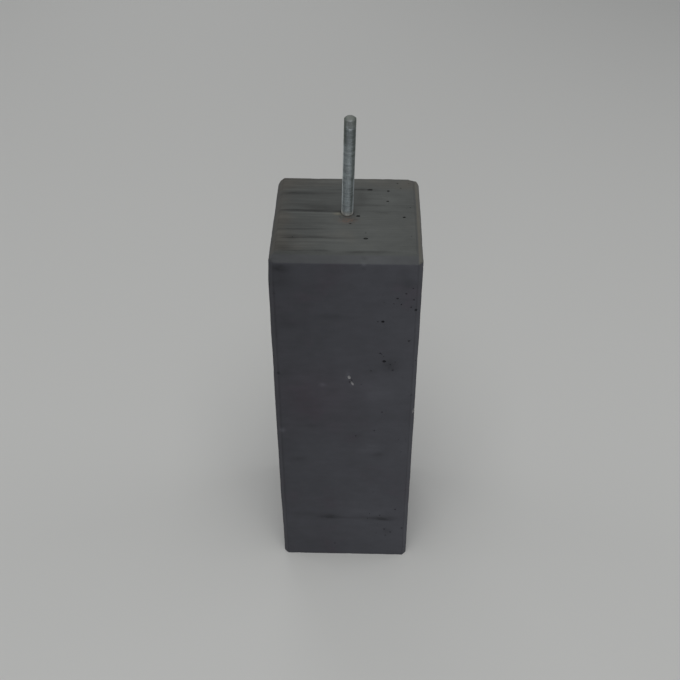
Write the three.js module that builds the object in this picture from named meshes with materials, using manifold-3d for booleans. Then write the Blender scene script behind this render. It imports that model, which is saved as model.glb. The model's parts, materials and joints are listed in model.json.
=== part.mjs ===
// A square cast concrete pier block that carries the foot of a timber column, with a threaded steel
// stud cast into its top. The block stands on its underside. +Z is up, -Y is the front, and the origin
// is the middle of the underside. All sizes are in millimetres.
import * as THREE from "three";
import { mergeVertices } from "three/addons/utils/BufferGeometryUtils.js";
import Module from "manifold-3d";

const wasm = await Module();
wasm.setup();

// The block
const BLOCK_WIDTH = 200; // along X
const BLOCK_DEPTH = 200; // along Y
const BLOCK_HEIGHT = 600;
const TOP_CHAMFER_IN = 9; // all round the top face, measured across it
const TOP_CHAMFER_DOWN = 11.5; // and down each side
const SIDE_CHAMFER = 6; // down the four upright corners

// The stud, an M16 rod with a coarse thread
const STUD_DIAMETER = 16;
const THREAD_PITCH = 2;
const THREAD_DEPTH = 1.23;
const THREAD_SIDES = 16; // facets in one turn
const STUD_SHOWING = 142; // above the top face, along the stud
const STUD_BURIED = 130; // cast into the block, along the stud
const THREAD_ENDS = 1.5; // turns cut away past each end of the threaded length
const STUD_TIP_CHAMFER = 1.5;
const STUD_LEAN = THREE.MathUtils.degToRad(1.4); // towards +X
const STUD_SETBACK = 3; // behind the middle of the top face
const STUD_CLEARANCE = 0.3; // left round the stud and under it
const STUD_SIDES = 32; // facets of the plain shank and of its hole

// The spalled patch round the foot of the stud
const SPALL_WIDTH = 24; // along X
const SPALL_LENGTH = 36; // along Y
const SPALL_DEPTH = 1.6;
const SPALL_SLOPE = 2.5; // how far its sloping rim runs in
const SPALL_FORWARD = 8; // how far its middle lies in front of the stud
const SPALL_SIDES = 24;
const THREAD_BELOW_SPALL = 1.5; // the thread carries on this far into the hole

// The worn back right corner of the top
const CORNER_WEAR_REACH = 7; // along each edge of the top face
const CORNER_WEAR_DROP = 5.75; // down the slanting edge where two chamfers meet

// A chip out of the front right upright corner, and a gouge in the front face
const EDGE_CHIP_HEIGHT = 12;
const EDGE_CHIP_WIDTH = 8;
const EDGE_CHIP_BELOW_TOP = 274;
const GOUGE_LENGTH = 14;
const GOUGE_WIDTH = 6;
const GOUGE_DEPTH = 2.4;
const GOUGE_BELOW_TOP = 214;
const GOUGE_RIGHT = 8; // of the face's middle line
const GOUGE_TURN = THREE.MathUtils.degToRad(23); // its lower end points to the right

const CUT_OVERRUN = 5; // how far a cut carries on past the face that it opens

const UP = new THREE.Vector3(0, 0, 1);

// A geometry as a manifold solid, with only its position kept and its shared vertices merged.
function toSolid(geometry) {
  const bare = geometry.clone();
  for (const name of Object.keys(bare.attributes)) {
    if (name !== "position") bare.deleteAttribute(name);
  }
  const merged = mergeVertices(bare, 1e-4);
  return new wasm.Manifold(
    new wasm.Mesh({
      numProp: 3,
      vertProperties: new Float32Array(merged.attributes.position.array),
      triVerts: new Uint32Array(merged.index.array),
    }),
  );
}

function toGeometry(solid) {
  const mesh = solid.getMesh();
  const geometry = new THREE.BufferGeometry();
  geometry.setAttribute("position", new THREE.BufferAttribute(mesh.vertProperties, 3));
  geometry.setIndex(new THREE.BufferAttribute(mesh.triVerts, 1));
  geometry.computeVertexNormals();
  return geometry;
}

// A straight prism of a closed outline, centred on the plane of the outline.
function prism(points, length) {
  const shape = new THREE.Shape(points.map(([u, v]) => new THREE.Vector2(u, v)));
  const geometry = new THREE.ExtrudeGeometry(shape, { depth: length, bevelEnabled: false });
  return geometry.translate(0, 0, -length / 2);
}

// The outline of the block seen level from one side: square at the foot, chamfered at the top.
function elevation(width) {
  const side = width / 2;
  const face = side - TOP_CHAMFER_IN;
  const shoulder = BLOCK_HEIGHT - TOP_CHAMFER_DOWN;
  return [
    [-side, 0],
    [side, 0],
    [side, shoulder],
    [face, BLOCK_HEIGHT],
    [-face, BLOCK_HEIGHT],
    [-side, shoulder],
  ];
}

// The outline of the block seen from above, with its four corners cut.
function plan() {
  const x = BLOCK_WIDTH / 2;
  const y = BLOCK_DEPTH / 2;
  const c = SIDE_CHAMFER;
  return [
    [-x + c, -y],
    [x - c, -y],
    [x, -y + c],
    [x, y - c],
    [x - c, y],
    [-x + c, y],
    [-x, y - c],
    [-x, -y + c],
  ];
}

// The whole block before anything is cut from it: what its plan and its two elevations share.
function blankBlock() {
  const fromAbove = prism(plan(), BLOCK_HEIGHT).translate(0, 0, BLOCK_HEIGHT / 2);
  const fromFront = prism(elevation(BLOCK_WIDTH), BLOCK_DEPTH).rotateX(Math.PI / 2);
  const fromSide = prism(elevation(BLOCK_DEPTH), BLOCK_WIDTH)
    .rotateX(Math.PI / 2)
    .rotateZ(Math.PI / 2);
  return toSolid(fromAbove).intersect(toSolid(fromFront)).intersect(toSolid(fromSide));
}

// A round solid about Z from its half outline, which starts and ends on the axis.
function turned(outline, sides) {
  const points = outline.map(([radius, z]) => new THREE.Vector2(radius, z));
  return new THREE.LatheGeometry(points, sides).rotateX(Math.PI / 2);
}

// The circle through the corners of a polygon whose sides stay clear of a round of this radius.
function aroundRadius(radius, sides) {
  return radius / Math.cos(Math.PI / sides);
}

// The stud's own frame: its foot is in the plane of the top face and its axis leans.
const studPlace = new THREE.Object3D();
studPlace.position.set(0, STUD_SETBACK, BLOCK_HEIGHT);
studPlace.rotation.y = STUD_LEAN;
studPlace.updateMatrix();

// The hole that the concrete leaves round the buried end of the stud.
function studHole() {
  const radius = aroundRadius(STUD_DIAMETER / 2 + STUD_CLEARANCE, STUD_SIDES);
  const bottom = -STUD_BURIED - STUD_CLEARANCE;
  const outline = [[0, bottom], [radius, bottom], [radius, CUT_OVERRUN], [0, CUT_OVERRUN]];
  return turned(outline, STUD_SIDES).applyMatrix4(studPlace.matrix);
}

// The shallow patch where the surface has broken away round the stud, an oval dish.
function spall() {
  const radius = SPALL_WIDTH / 2;
  const outline = [
    [0, -SPALL_DEPTH],
    [radius - SPALL_SLOPE, -SPALL_DEPTH],
    [radius + SPALL_SLOPE, SPALL_DEPTH],
    [0, SPALL_DEPTH],
  ];
  return turned(outline, SPALL_SIDES)
    .scale(1, SPALL_LENGTH / SPALL_WIDTH, 1)
    .translate(0, STUD_SETBACK - SPALL_FORWARD, BLOCK_HEIGHT);
}

// The worn back right corner of the top: a slab whose under side passes through one point on each of
// the three edges that meet there.
function cornerWear() {
  const x = BLOCK_WIDTH / 2 - TOP_CHAMFER_IN;
  const y = BLOCK_DEPTH / 2 - TOP_CHAMFER_IN;
  const out = (CORNER_WEAR_DROP * TOP_CHAMFER_IN) / TOP_CHAMFER_DOWN;
  const onEdges = [
    new THREE.Vector3(x - CORNER_WEAR_REACH, y, BLOCK_HEIGHT),
    new THREE.Vector3(x + out, y + out, BLOCK_HEIGHT - CORNER_WEAR_DROP),
    new THREE.Vector3(x, y - CORNER_WEAR_REACH, BLOCK_HEIGHT),
  ];
  const plane = new THREE.Plane().setFromCoplanarPoints(...onEdges);
  if (plane.normal.z < 0) plane.negate();
  const turn = new THREE.Quaternion().setFromUnitVectors(UP, plane.normal);
  const size = TOP_CHAMFER_IN + TOP_CHAMFER_DOWN + 2 * (CORNER_WEAR_REACH + CORNER_WEAR_DROP);
  return new THREE.BoxGeometry(size, size, size)
    .translate(0, 0, size / 2)
    .applyQuaternion(turn)
    .translate(...onEdges[1].toArray());
}

// A many-sided lump, used to knock a chip out of a face or an edge.
function lump(width, thickness, height) {
  return new THREE.IcosahedronGeometry(0.5, 1).scale(width, thickness, height);
}

// A chip out of the corner, centred where the chamfer meets the right side.
function edgeChip() {
  return lump(EDGE_CHIP_WIDTH, EDGE_CHIP_WIDTH, EDGE_CHIP_HEIGHT).translate(
    BLOCK_WIDTH / 2,
    -BLOCK_DEPTH / 2 + SIDE_CHAMFER,
    BLOCK_HEIGHT - EDGE_CHIP_BELOW_TOP,
  );
}

// A shallow scar that slants down to the right.
function gouge() {
  return lump(GOUGE_WIDTH, 2 * GOUGE_DEPTH, GOUGE_LENGTH)
    .rotateY(-GOUGE_TURN)
    .translate(GOUGE_RIGHT, -BLOCK_DEPTH / 2, BLOCK_HEIGHT - GOUGE_BELOW_TOP);
}

function concreteBlock() {
  const cuts = [studHole(), spall(), cornerWear(), edgeChip(), gouge()];
  const solid = cuts.reduce((left, cut) => left.subtract(toSolid(cut)), blankBlock());
  return new THREE.Mesh(
    toGeometry(solid),
    new THREE.MeshStandardMaterial({ color: 0x4b4b4e, roughness: 0.82, metalness: 0 }),
  );
}

// A long body with a sharp V thread about Z. Two rows of points, root and crest, climb one pitch a turn,
// and the roots of each turn are also the lower roots of the next one. A fan closes each end.
function threadBody(from, to) {
  const crest = STUD_DIAMETER / 2;
  const root = crest - THREAD_DEPTH;
  const first = from - THREAD_ENDS * THREAD_PITCH;
  const turns = Math.ceil((to - first) / THREAD_PITCH + THREAD_ENDS);
  const steps = turns * THREAD_SIDES;
  const crests = steps - THREAD_SIDES;
  const rise = THREAD_PITCH / THREAD_SIDES;
  const points = [];
  for (let i = 0; i <= steps; i++) {
    const angle = (2 * Math.PI * i) / THREAD_SIDES;
    const z = first + rise * i;
    points.push(root * Math.cos(angle), root * Math.sin(angle), z);
    points.push(crest * Math.cos(angle), crest * Math.sin(angle), z + THREAD_PITCH / 2);
  }
  const rootAt = (i) => 2 * i;
  const crestAt = (i) => 2 * i + 1;
  const faces = [];
  const quad = (a, b, c, d) => faces.push(a, b, c, a, c, d);
  for (let i = 0; i < crests; i++) {
    quad(rootAt(i), rootAt(i + 1), crestAt(i + 1), crestAt(i));
    quad(crestAt(i), crestAt(i + 1), rootAt(i + 1 + THREAD_SIDES), rootAt(i + THREAD_SIDES));
  }
  const foot = points.length / 3;
  const head = foot + 1;
  points.push(0, 0, first, 0, 0, first + rise * steps);
  for (let i = 0; i < THREAD_SIDES; i++) {
    faces.push(foot, rootAt(i + 1), rootAt(i));
    faces.push(head, rootAt(crests + i), rootAt(crests + i + 1));
  }
  quad(foot, rootAt(0), crestAt(0), rootAt(THREAD_SIDES));
  quad(head, rootAt(steps), crestAt(crests), rootAt(crests));
  const geometry = new THREE.BufferGeometry();
  geometry.setAttribute("position", new THREE.Float32BufferAttribute(points, 3));
  return geometry.setIndex(faces);
}

// The threaded length, cut off at both ends, with a small chamfer round the tip.
function threadedLength(from, to) {
  const radius = STUD_DIAMETER / 2;
  const outline = [
    [0, from],
    [radius, from],
    [radius, to - STUD_TIP_CHAMFER],
    [radius - STUD_TIP_CHAMFER, to],
    [0, to],
  ];
  return toSolid(threadBody(from, to)).intersect(toSolid(turned(outline, STUD_SIDES)));
}

// The buried end, which is left plain because the concrete hides it.
function shank(from, to) {
  const radius = STUD_DIAMETER / 2;
  const outline = [[0, from], [radius, from], [radius, to], [0, to]];
  return toSolid(turned(outline, STUD_SIDES));
}

function threadedStud() {
  const threadFoot = -SPALL_DEPTH - THREAD_BELOW_SPALL;
  const solid = shank(-STUD_BURIED, threadFoot).add(threadedLength(threadFoot, STUD_SHOWING));
  return new THREE.Mesh(
    toGeometry(solid),
    new THREE.MeshStandardMaterial({ color: 0x8f979b, roughness: 0.38, metalness: 0.9 }),
  );
}

const pierBlock = new THREE.Group();

const block = concreteBlock();
block.name = "concrete_block";
pierBlock.add(block);

const stud = threadedStud();
stud.name = "threaded_stud";
const studGroup = new THREE.Group();
studGroup.position.copy(studPlace.position);
studGroup.rotation.copy(studPlace.rotation);
studGroup.add(stud);
pierBlock.add(studGroup);

export default pierBlock;
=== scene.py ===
# %% [markdown]
# # A concrete pier block with a threaded stud
# A pier block lifts the foot of a timber column clear of wet ground. It is cast from dark grey concrete
# in a square mould, and a length of zinc-plated threaded rod is set into its head to bolt the column to.
# This lesson makes the two pieces one after the other: first their shape as mesh, then their finish as
# nodes, and last the floor and the lights. All sizes are in metres, and +Z is up.

# %% Load the construction model
import json
import math
import random

import bmesh
import bpy
import numpy as np
from mathutils import Euler
from mathutils import Matrix
from mathutils import Vector
from mathutils import noise

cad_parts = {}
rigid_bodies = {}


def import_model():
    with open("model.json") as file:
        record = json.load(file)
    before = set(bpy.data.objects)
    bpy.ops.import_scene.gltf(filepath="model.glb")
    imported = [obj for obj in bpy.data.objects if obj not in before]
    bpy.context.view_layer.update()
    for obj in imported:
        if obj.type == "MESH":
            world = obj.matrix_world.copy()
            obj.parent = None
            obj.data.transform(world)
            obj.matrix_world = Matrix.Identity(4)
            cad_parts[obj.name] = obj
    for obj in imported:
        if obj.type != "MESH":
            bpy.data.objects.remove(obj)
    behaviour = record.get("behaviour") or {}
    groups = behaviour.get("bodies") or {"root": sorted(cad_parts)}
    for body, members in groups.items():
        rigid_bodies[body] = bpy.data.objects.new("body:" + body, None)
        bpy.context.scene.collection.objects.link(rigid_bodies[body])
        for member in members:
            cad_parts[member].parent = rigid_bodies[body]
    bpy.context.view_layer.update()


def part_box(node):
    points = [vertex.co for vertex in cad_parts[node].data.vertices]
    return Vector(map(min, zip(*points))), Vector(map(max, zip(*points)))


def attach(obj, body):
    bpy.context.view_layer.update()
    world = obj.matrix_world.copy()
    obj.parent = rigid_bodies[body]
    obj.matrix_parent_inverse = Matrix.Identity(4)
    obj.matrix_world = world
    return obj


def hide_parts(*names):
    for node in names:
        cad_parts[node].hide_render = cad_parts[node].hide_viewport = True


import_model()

MM = 0.001

block_low, block_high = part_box("concrete_block")
_, stud_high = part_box("threaded_stud")
SIDE_X = block_high.x
SIDE_Y = block_high.y
TOP = block_high.z
size_mm = tuple(round(v / MM) for v in block_high - block_low)
print("block", size_mm, "mm, stud up to", round(stud_high.z / MM), "mm")

# %% [markdown]
# ## The camera
# The photograph looks down on the head of the block from the height of a standing person's eyes. The
# camera goes where that person stood: a little over a metre in front, just right of the middle, and
# turned down by forty degrees. A lens of 53 mm on a sensor 36 mm wide gives the photograph's
# perspective, in which the foot of the block looks narrower than its head.

# %% Place the camera
CAMERA_PLACE = Vector((0.0214, -1.1449, TOP + 0.7383))
CAMERA_DOWN = math.radians(39.99)
CAMERA_LEFT = math.radians(1.583)
CAMERA_ROLL = math.radians(-0.15)
LENS_MM = 53.08
SENSOR_MM = 36.0


def new_object(name, data):
    made = bpy.data.objects.new(name, data)
    bpy.context.scene.collection.objects.link(made)
    return made


camera_data = bpy.data.cameras.new("camera")
camera_data.lens = LENS_MM
camera_data.sensor_width = SENSOR_MM
camera = new_object("camera", camera_data)
camera.matrix_world = (
    Matrix.Translation(CAMERA_PLACE)
    @ Matrix.Rotation(CAMERA_LEFT, 4, "Z")
    @ Matrix.Rotation(math.radians(90) - CAMERA_DOWN, 4, "X")
    @ Matrix.Rotation(CAMERA_ROLL, 4, "Z")
)
bpy.context.scene.camera = camera
print("camera", [round(v, 3) for v in camera.matrix_world.translation])

# %% [markdown]
# ## The cast body
# The mould gives the block its form: flat sides, a strip of chamfer round the head, and a narrow chamfer
# down each upright corner. A box modelled by hand and bevelled would do, but its edges would be perfect.
# Here a box is covered with grid lines that lie close together near its edges, and each point that
# stands outside a chamfer's plane is pushed back onto it. The push is soft, and how soft changes along
# the edge, so every arris comes out a little rounded and uneven, as a cast and handled edge is.

# %% Grid lines over the box
EDGE_MARGIN = 16 * MM
EDGE_SPACING = 1.3 * MM
FACE_SPACING = 6 * MM


def grid_lines(low, high):
    """Places of the grid lines along one side of the box, close together near both ends."""
    close = np.linspace(0, EDGE_MARGIN, round(EDGE_MARGIN / EDGE_SPACING) + 1)[:-1]
    middle_count = round((high - low - 2 * EDGE_MARGIN) / FACE_SPACING)
    middle = np.linspace(low + EDGE_MARGIN, high - EDGE_MARGIN, middle_count + 1)
    return np.concatenate([low + close, middle, (high - close)[::-1]])


def box_grid(low, high):
    """Points and four-sided faces of a box whose six sides are covered by the grid lines."""
    lines = [grid_lines(low[i], high[i]) for i in range(3)]
    points = []
    faces = []
    for across in range(3):
        u, v = [i for i in range(3) if i != across]
        for value in (low[across], high[across]):
            grid_u, grid_v = np.meshgrid(lines[u], lines[v])
            side = np.full((grid_u.size, 3), value)
            side[:, u] = grid_u.ravel()
            side[:, v] = grid_v.ravel()
            first = sum(len(p) for p in points)
            row = len(lines[u])
            for j in range(len(lines[v]) - 1):
                for i in range(row - 1):
                    corner = first + j * row + i
                    faces.append((corner, corner + 1, corner + row + 1, corner + row))
            points.append(side)
    return np.concatenate(points), faces


body_points, body_faces = box_grid(block_low, block_high)
print("box grid:", len(body_points), "points,", len(body_faces), "faces")

# %% Planes that cut the edges
CHAMFER_IN = 9 * MM
CHAMFER_DOWN = 11.5 * MM
CORNER_CUT = 6 * MM
CORNER_WEAR_REACH = 7 * MM
CORNER_WEAR_DROP = 5.75 * MM


def plane(normal, point):
    """A plane as its unit normal and its distance from the origin along that normal."""
    unit = np.array(Vector(normal).normalized())
    return unit, float(unit @ np.array(point))


def edge_planes():
    """The chamfers round the head, down the corners and, with no width, round the foot."""
    planes = []
    for sign in (-1, 1):
        planes.append(plane((sign * CHAMFER_DOWN, 0, CHAMFER_IN), (sign * SIDE_X, 0, TOP - CHAMFER_DOWN)))
        planes.append(plane((0, sign * CHAMFER_DOWN, CHAMFER_IN), (0, sign * SIDE_Y, TOP - CHAMFER_DOWN)))
        planes.append(plane((sign, 0, -1), (sign * SIDE_X, 0, 0)))
        planes.append(plane((0, sign, -1), (0, sign * SIDE_Y, 0)))
        for other in (-1, 1):
            planes.append(plane((sign, other, 0), (sign * SIDE_X, other * (SIDE_Y - CORNER_CUT), 0)))
    return planes


def worn_corner_plane():
    """The worn back right corner of the head."""
    x = SIDE_X - CHAMFER_IN
    y = SIDE_Y - CHAMFER_IN
    out = CORNER_WEAR_DROP * CHAMFER_IN / CHAMFER_DOWN
    on_back = Vector((x - CORNER_WEAR_REACH, y, TOP))
    on_right = Vector((x, y - CORNER_WEAR_REACH, TOP))
    below = Vector((x + out, y + out, TOP - CORNER_WEAR_DROP))
    normal = (on_right - on_back).cross(below - on_back)
    return plane(normal if normal.z > 0 else -normal, on_back)


PLANES = edge_planes() + [worn_corner_plane()]
print(len(PLANES), "planes")

# %% Press the box into the mould
ARRIS_LEAST = 0.5 * MM
ARRIS_MORE = 1.6 * MM
ARRIS_WAVE = 14 * MM
ARRIS_SEED = 5
PRESSES = 3
PRESS_REACH = 4 * ARRIS_MORE
SEED_STEP = (3.7, 1.3, 2.1)
FRACTAL = (1.0, 2.0, 3)  # how fast finer layers fade, how much finer each is, and their number


def field(points, wave, seed):
    """Smooth noise from -1 to 1 at each point, with this distance from crest to crest."""
    shift = Vector([seed * step for step in SEED_STEP])
    return np.array([noise.fractal(Vector(p) / wave + shift, *FRACTAL) for p in points])


def pressed(points):
    """Push every point back inside the planes, softly enough to round the arrises."""
    points = points.copy()
    softness = ARRIS_LEAST + ARRIS_MORE * np.clip(field(points, ARRIS_WAVE, ARRIS_SEED), 0, 1)
    for normal, distance in PLANES * PRESSES:
        outside = points @ normal - distance
        push = (outside + np.sqrt(outside**2 + (softness / PRESSES) ** 2)) / 2
        far = outside < -PRESS_REACH
        points -= np.where(far, 0, push)[:, None] * normal
    return points


body_points = pressed(body_points)

# %% Make the body a mesh and give its faces a slight waviness
WAVE_LONG = 75 * MM
WAVE_LONG_HEIGHT = 0.35 * MM
WAVE_SHORT = 16 * MM
WAVE_SHORT_HEIGHT = 0.10 * MM
FOOT_ZONE = 2 * MM
SEAM = 0.02 * MM
BULGE = 1.5 * MM
BULGE_WIDTH = 45 * MM
BULGE_TOP = (12 * MM, 45 * MM)
BULGE_FOOT = (40 * MM, 150 * MM)


def rise(value, start, end):
    """0 before start and 1 after end, with a smooth rise between."""
    share = min(1.0, max(0.0, (value - start) / (end - start)))
    return share * share * (3 - 2 * share)


def bulge(point):
    """How far the slack left wall of the mould let this point out."""
    near_wall = rise(-point.x, SIDE_X - BULGE_WIDTH, SIDE_X)
    return BULGE * near_wall * rise(TOP - point.z, *BULGE_TOP) * rise(point.z, *BULGE_FOOT)


TAG = "broken"
SKIN = 0.0
PORE = 0.5
BREAK = 1.0


def tagged(mesh, value):
    """Write on every face what it is: the cast skin, the wall of a pore, or a fresh break."""
    layer = mesh.attributes.new(TAG, "FLOAT", "FACE")
    layer.data.foreach_set("value", [value] * len(mesh.polygons))
    return mesh


def body_mesh(points, faces):
    """A closed mesh from the pressed grid: the six sides are joined where their points meet."""
    mesh = bpy.data.meshes.new("concrete_block_look")
    mesh.from_pydata([tuple(p) for p in points], [], faces)
    work = bmesh.new()
    work.from_mesh(mesh)
    bmesh.ops.remove_doubles(work, verts=work.verts, dist=SEAM)
    bmesh.ops.recalc_face_normals(work, faces=work.faces)
    work.normal_update()
    places = [v.co.copy() for v in work.verts]
    height = WAVE_LONG_HEIGHT * field(places, WAVE_LONG, seed=1)
    height = height + WAVE_SHORT_HEIGHT * field(places, WAVE_SHORT, seed=2)
    for vertex, wave in zip(work.verts, height):
        held = min(1.0, max(0.0, vertex.co.z / FOOT_ZONE))
        vertex.co += vertex.normal * float(wave) * held
        vertex.co.x -= bulge(vertex.co)
    work.to_mesh(mesh)
    work.free()
    return tagged(mesh, SKIN)


body = new_object("concrete_block_look", body_mesh(body_points, body_faces))
print("body:", len(body.data.vertices), "points, foot at", round(min(v.co.z for v in body.data.vertices), 6))

# %% [markdown]
# ## Node trees written as Python
# Both the bubbles in the surface and the finishes are made by nodes. Linking nodes by hand in a script
# is long-winded, so one small class wraps an output socket and lets it stand in a Python sum: adding two
# wrapped sockets adds a Math node. Every other node comes from one method, which takes the node's type,
# its settings and the values or links of its inputs.

# %% A socket that can be used in sums
MIX_FACTOR, MIX_FIRST, MIX_SECOND, MIX_RESULT = 0, 6, 7, 2  # the colour sockets of a Mix node


class Wire:
    """An output socket of a node tree."""

    def __init__(self, tree, socket=None):
        self.tree = tree
        self.socket = socket

    def node(self, kind, settings=None, inputs=None, output=0):
        """Add a node and return one of its outputs. Settings are set before inputs."""
        made = self.tree.nodes.new(kind)
        for name, value in (settings or {}).items():
            setattr(made, name, value)
        for name, value in (inputs or {}).items():
            if isinstance(value, Wire):
                self.tree.links.new(value.socket, made.inputs[name])
            else:
                made.inputs[name].default_value = value
        return Wire(self.tree, made.outputs[output] if made.outputs else None)

    def other(self, output):
        """Another output of the same node."""
        return Wire(self.tree, self.socket.node.outputs[output])

    def maths(self, operation, *values):
        return self.node("ShaderNodeMath", {"operation": operation}, dict(enumerate(values)))

    def __add__(self, value):
        return self.maths("ADD", self, value)

    def __radd__(self, value):
        return self.maths("ADD", value, self)

    def __sub__(self, value):
        return self.maths("SUBTRACT", self, value)

    def __rsub__(self, value):
        return self.maths("SUBTRACT", value, self)

    def __mul__(self, value):
        return self.maths("MULTIPLY", self, value)

    def __pow__(self, value):
        return self.maths("POWER", self, value)

    def size(self):
        return self.maths("ABSOLUTE", self)

    def least(self, value):
        return self.maths("MAXIMUM", self, value)

    def most(self, value):
        return self.maths("MINIMUM", self, value)

    def step(self, start, end):
        """0 before start and 1 after end, with a smooth rise between. start may be past end."""
        settings = {"interpolation_type": "SMOOTHSTEP"}
        inputs = {"Value": self, "From Min": start, "From Max": end, "To Min": 0.0, "To Max": 1.0}
        return self.node("ShaderNodeMapRange", settings, inputs)

    def axes(self):
        """The X of a place. Its Y and Z are other outputs of the same node."""
        return self.node("ShaderNodeSeparateXYZ", None, {0: self})

    def vectors(self, operation, value, output=0):
        return self.node("ShaderNodeVectorMath", {"operation": operation}, {0: self, 1: value}, output)

    def scaled(self, factor):
        """This vector or colour times a factor."""
        return self.node("ShaderNodeVectorMath", {"operation": "SCALE"}, {0: self, "Scale": factor})

    def blend(self, first, second):
        """The colour between two others, by this amount from 0 to 1."""
        inputs = {MIX_FACTOR: self, MIX_FIRST: first, MIX_SECOND: second}
        return self.node("ShaderNodeMix", {"data_type": "RGBA"}, inputs, MIX_RESULT)

    def mixed(self, colour, amount):
        """This colour turned towards another by an amount from 0 to 1."""
        return amount.blend(self, colour)


# %% [markdown]
# ## Air bubbles
# Concrete that is poured against a mould traps air, and each bubble on the mould's wall leaves a round
# hole when the mould comes off. They are too many to place by hand. Geometry Nodes scatter points over
# the body, put a ball on each one, sink it a little, and subtract all the balls at once. The holes are
# gathered in drifts, as the photograph shows. On the head and the front, which it shows, they are few
# and tiny here, because the larger ones there are placed one by one afterwards.

# %% Build the bubble tree
DRIFT_SCALE = 13.0
DRIFT_EDGE = (0.42, 0.66)
FACING_EDGE = (0.4, 0.6)  # how squarely a face has to look up or forward to count as photographed
SPARSE_FROM = 10 * MM
SPARSE_TO = 60 * MM
SPARSE_SHARE = 0.95
FOOT_CLEAR = (3 * MM, 8 * MM)
STRAY_SHARE = 0.04
SIZE_POWER = 3.0
SINK = 0.35
SQUASH = (0.75, 1.2)


def drawn(given, low, high, seed):
    """A random vector for each bubble, whose parts lie between low and high."""
    inputs = {0: (low,) * 3, 1: (high,) * 3, "Seed": seed}
    return given.node("FunctionNodeRandomValue", {"data_type": "FLOAT_VECTOR"}, inputs)


def bubble_tree():
    """Nodes that pit a body with seeded air bubbles."""
    tree = bpy.data.node_groups.new("air_bubbles", "GeometryNodeTree")
    tree.interface.new_socket("Geometry", in_out="OUTPUT", socket_type="NodeSocketGeometry")
    for name, kind in (
        ("Geometry", "Geometry"),
        ("Spacing", "Float"),
        ("Density", "Float"),
        ("Smallest", "Float"),
        ("Largest", "Float"),
        ("Photographed share", "Float"),
        ("Ball detail", "Int"),
        ("Seed", "Int"),
        ("Material", "Material"),
    ):
        tree.interface.new_socket(name, in_out="INPUT", socket_type="NodeSocket" + kind)
    given = Wire(tree).node("NodeGroupInput")
    mesh = given.other("Geometry")
    seed = given.other("Seed")
    smallest = given.other("Smallest")

    place = given.node("GeometryNodeInputPosition")
    x = place.axes()
    clusters = given.node("ShaderNodeTexNoise", None, {"Vector": place, "Scale": DRIFT_SCALE, "Detail": 2.0})
    density = clusters.step(*DRIFT_EDGE) * x.other("Z").step(*FOOT_CLEAR) + STRAY_SHARE
    facing = given.node("GeometryNodeInputNormal").axes()
    photographed = (facing.other("Z").least(facing.other("Y") * -1.0)).step(*FACING_EDGE)
    fewer = photographed * (1.0 - given.other("Photographed share"))
    sparse = (1.0 - photographed * x.step(SPARSE_TO, SPARSE_FROM) * SPARSE_SHARE) * (1.0 - fewer)
    spread = {
        "Mesh": mesh,
        "Distance Min": given.other("Spacing"),
        "Density Max": given.other("Density"),
        "Density Factor": density * sparse,
        "Seed": seed,
    }
    points = given.node("GeometryNodeDistributePointsOnFaces", {"distribute_method": "POISSON"}, spread)

    chance = given.node("FunctionNodeRandomValue", {"data_type": "FLOAT"}, {2: 0.0, 3: 1.0, "Seed": seed}, 1)
    largest = given.other("Largest") * (1.0 - fewer)
    radius = smallest + (largest - smallest).least(0.0) * chance**SIZE_POWER
    inward = points.other("Normal").scaled(radius * -SINK)
    sunk = given.node("GeometryNodeSetPosition", None, {"Geometry": points, "Offset": inward})
    round_form = {"Radius": 1.0, "Subdivisions": given.other("Ball detail")}
    ball = given.node("GeometryNodeMeshIcoSphere", None, round_form)
    tag = {"Geometry": ball, "Name": TAG, "Value": PORE}
    ball = given.node("GeometryNodeStoreNamedAttribute", {"data_type": "FLOAT", "domain": "FACE"}, tag)
    size = drawn(given, *SQUASH, seed=4).scaled(radius)
    turn = drawn(given, 0.0, math.tau, seed=9)
    placed = {"Points": sunk, "Instance": ball, "Rotation": turn, "Scale": size}
    balls = given.node("GeometryNodeInstanceOnPoints", None, placed)
    balls = given.node("GeometryNodeRealizeInstances", None, {"Geometry": balls})
    settings = {"operation": "DIFFERENCE", "solver": "MANIFOLD"}
    pitted = given.node("GeometryNodeMeshBoolean", settings, {"Mesh 1": mesh, "Mesh 2": balls})
    whole = given.node("GeometryNodeRealizeInstances", None, {"Geometry": pitted})
    finish = {"Geometry": whole, "Material": given.other("Material")}
    given.node("NodeGroupOutput", None, {0: given.node("GeometryNodeSetMaterial", None, finish)})
    return tree


concrete = bpy.data.materials.new("cast_concrete")
bubbles = bubble_tree()
print("bubble tree:", len(bubbles.nodes), "nodes")

# %% Pit the body twice: with rare larger holes, then with small ones
BUBBLE_SIZES = {
    "large": {
        "Spacing": 9 * MM,
        "Density": 900.0,
        "Smallest": 0.9 * MM,
        "Largest": 3.0 * MM,
        "Photographed share": 0.0,
        "Ball detail": 3,
        "Seed": 23,
        "Material": concrete,
    },
    "small": {
        "Spacing": 3.4 * MM,
        "Density": 4500.0,
        "Smallest": 0.35 * MM,
        "Largest": 1.3 * MM,
        "Photographed share": 0.5,
        "Ball detail": 2,
        "Seed": 11,
        "Material": concrete,
    },
}


def bake(thing):
    """Turn an object's modifiers into its own mesh and remove them."""
    depsgraph = bpy.context.evaluated_depsgraph_get()
    mesh = bpy.data.meshes.new_from_object(thing.evaluated_get(depsgraph))
    old = thing.data
    thing.modifiers.clear()
    thing.data = mesh
    bpy.data.meshes.remove(old)
    mesh.name = thing.name


def pit(thing, sizes):
    """Run the bubble tree on a body with these sizes."""
    modifier = thing.modifiers.new("bubbles", "NODES")
    modifier.node_group = bubbles
    for item in bubbles.interface.items_tree:
        if item.in_out == "INPUT" and item.name in sizes:
            modifier[item.identifier] = sizes[item.name]
    bake(thing)


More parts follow.
